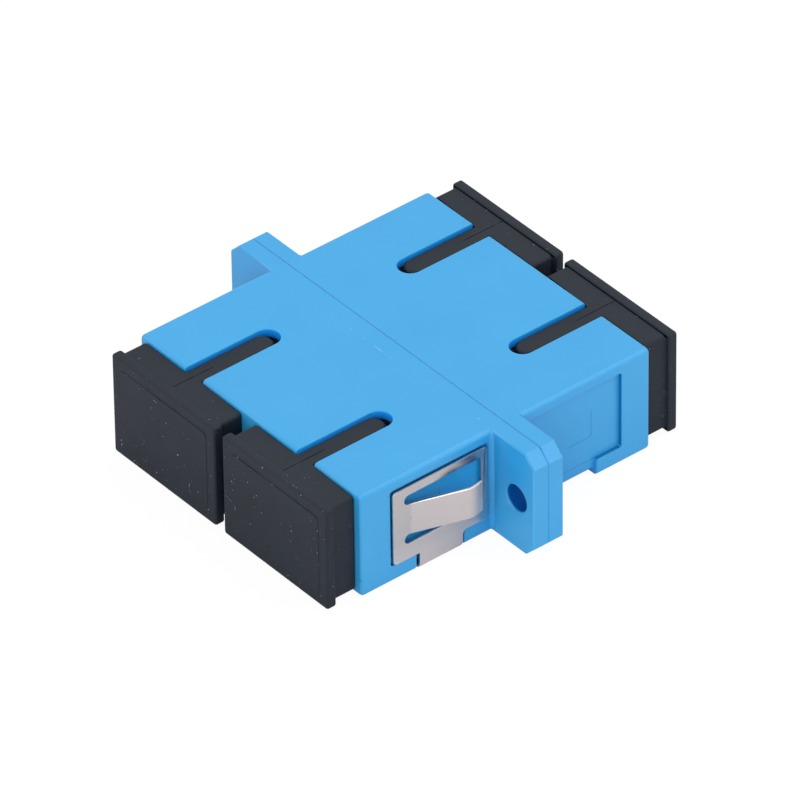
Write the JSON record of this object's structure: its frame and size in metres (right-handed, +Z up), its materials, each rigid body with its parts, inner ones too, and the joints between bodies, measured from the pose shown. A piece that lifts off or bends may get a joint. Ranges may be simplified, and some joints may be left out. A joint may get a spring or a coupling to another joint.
{
  "type": "duplex fibre optic adapter",
  "caption": "Duplex fibre optic adapter: moulded body with a panel flange and screw ears, a side spring clip, split sleeves in latch frames inside, and pull-off dust caps.",
  "frame": {"origin": "bottom of the body, midway across it, in the plane of the seam between the two halves", "axes": "+X across the two ports, +Y along the plug axis away from the clip's half, +Z up to the key slots"},
  "size_m": [0.0344, 0.0328, 0.0091],
  "materials": {
    "housing": "satin moulded",
    "clip": "rolled sheet",
    "dust_cap": "soft matt",
    "latch_frame": "natural",
    "sleeve": "ground"
  },
  "bodies": {
    "adapter": {"housing_front": "housing", "housing_rear": "housing", "spring_clip": "clip", "latch_frame_front_left": "latch_frame", "latch_frame_front_right": "latch_frame", "latch_frame_rear_left": "latch_frame", "latch_frame_rear_right": "latch_frame", "split_sleeve_left": "sleeve", "split_sleeve_right": "sleeve"},
    "dust_cap_front_left": {"dust_cap_front_left": "dust_cap"},
    "dust_cap_front_right": {"dust_cap_front_right": "dust_cap"},
    "dust_cap_rear_left": {"dust_cap_rear_left": "dust_cap"},
    "dust_cap_rear_right": {"dust_cap_rear_right": "dust_cap"}
  },
  "joints": [
    {"name": "dust_cap_front_left_pull", "type": "slide", "parent": "adapter", "child": "dust_cap_front_left", "axis": [0, -1, 0], "range_m": [0, 0.012]},
    {"name": "dust_cap_front_right_pull", "type": "slide", "parent": "adapter", "child": "dust_cap_front_right", "axis": [0, -1, 0], "range_m": [0, 0.012]},
    {"name": "dust_cap_rear_left_pull", "type": "slide", "parent": "adapter", "child": "dust_cap_rear_left", "axis": [0, 1, 0], "range_m": [0, 0.012]},
    {"name": "dust_cap_rear_right_pull", "type": "slide", "parent": "adapter", "child": "dust_cap_rear_right", "axis": [0, 1, 0], "range_m": [0, 0.012]}
  ]
}
